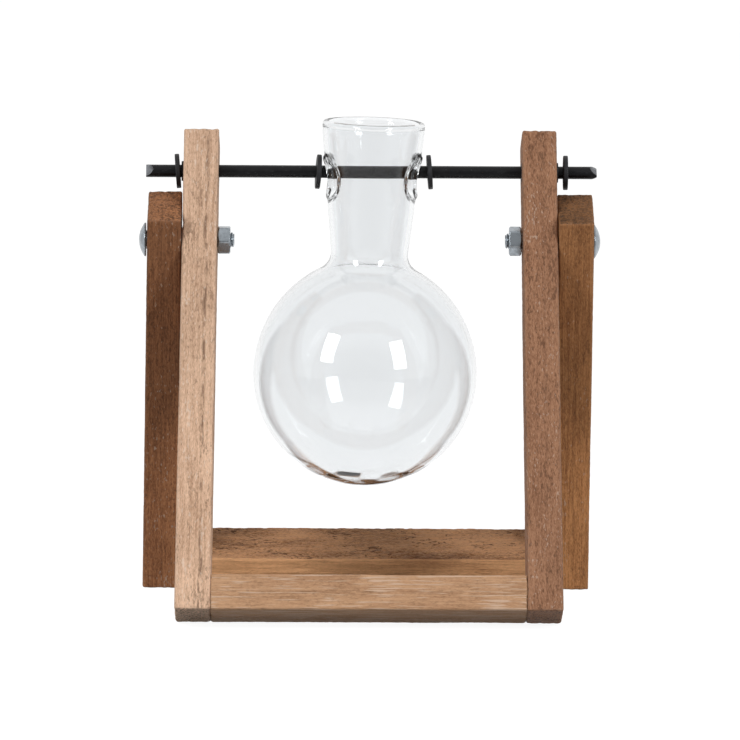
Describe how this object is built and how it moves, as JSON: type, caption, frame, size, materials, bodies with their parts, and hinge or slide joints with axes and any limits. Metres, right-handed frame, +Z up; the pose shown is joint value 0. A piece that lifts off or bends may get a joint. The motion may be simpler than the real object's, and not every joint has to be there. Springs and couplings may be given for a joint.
{
  "type": "propagation vase",
  "caption": "Round glass flask with a pierced and beaded neck, hung on a steel rod between the legs of a small folding wooden stand, for rooting plant cuttings in water.",
  "frame": {"origin": "on the table, midway between the feet and between the two frames", "axes": "+X along the rod to the right as seen from the front, +Y to the back, +Z up"},
  "size_m": [0.1752, 0.1264, 0.1854],
  "materials": {
    "pale_wood": "sawn and lightly sanded, unvarnished",
    "brown_wood": "sawn and lightly sanded, unvarnished",
    "zinc_steel": "zinc plated",
    "dark_steel": "dark plated",
    "black_rod": "semi-gloss black",
    "black_rubber": "smooth matte",
    "clear_glass": "clear, fire polished"
  },
  "bodies": {
    "front_frame": {"inner_leg_left": "pale_wood", "inner_leg_right": "pale_wood", "front_crossbar": "pale_wood", "front_screws_left": "dark_steel", "front_screws_right": "dark_steel", "rod_bush_left": "black_rubber", "rod_bush_right": "black_rubber"},
    "rear_frame": {"outer_leg_left": "brown_wood", "outer_leg_right": "brown_wood", "rear_crossbar": "brown_wood", "rear_screws_left": "dark_steel", "rear_screws_right": "dark_steel", "pivot_bolt_left": "zinc_steel", "pivot_bolt_right": "zinc_steel", "hex_nut_left": "zinc_steel", "hex_nut_right": "zinc_steel"},
    "rod": {"hanging_rod": "black_rod"},
    "flask": {"glass_flask": "clear_glass"},
    "outer_washer_left": {"outer_washer_left": "black_rubber"},
    "neck_washer_left": {"neck_washer_left": "black_rubber"},
    "neck_washer_right": {"neck_washer_right": "black_rubber"},
    "outer_washer_right": {"outer_washer_right": "black_rubber"}
  },
  "joints": [
    {"name": "frame_fold", "type": "hinge", "parent": "front_frame", "child": "rear_frame", "pos_m": [0, 0, 0.14028], "axis": [1, 0, 0], "range_deg": [-30.5, 58]},
    {"name": "rod_spin", "type": "hinge", "parent": "front_frame", "child": "rod", "pos_m": [0, 0.00959, 0.16552], "axis": [1, 0, 0], "continuous": true},
    {"name": "flask_swing", "type": "hinge", "parent": "rod", "child": "flask", "pos_m": [0, 0.00959, 0.16552], "axis": [1, 0, 0], "continuous": true},
    {"name": "outer_washer_left_slide", "type": "slide", "parent": "rod", "child": "outer_washer_left", "axis": [1, 0, 0], "range_m": [-0.008, 0]},
    {"name": "neck_washer_left_slide", "type": "slide", "parent": "rod", "child": "neck_washer_left", "axis": [1, 0, 0], "range_m": [-0.036, 0.0004]},
    {"name": "neck_washer_right_slide", "type": "slide", "parent": "rod", "child": "neck_washer_right", "axis": [1, 0, 0], "range_m": [-0.0012, 0.033]},
    {"name": "outer_washer_right_slide", "type": "slide", "parent": "rod", "child": "outer_washer_right", "axis": [1, 0, 0], "range_m": [-0.0015, 0.008]}
  ]
}
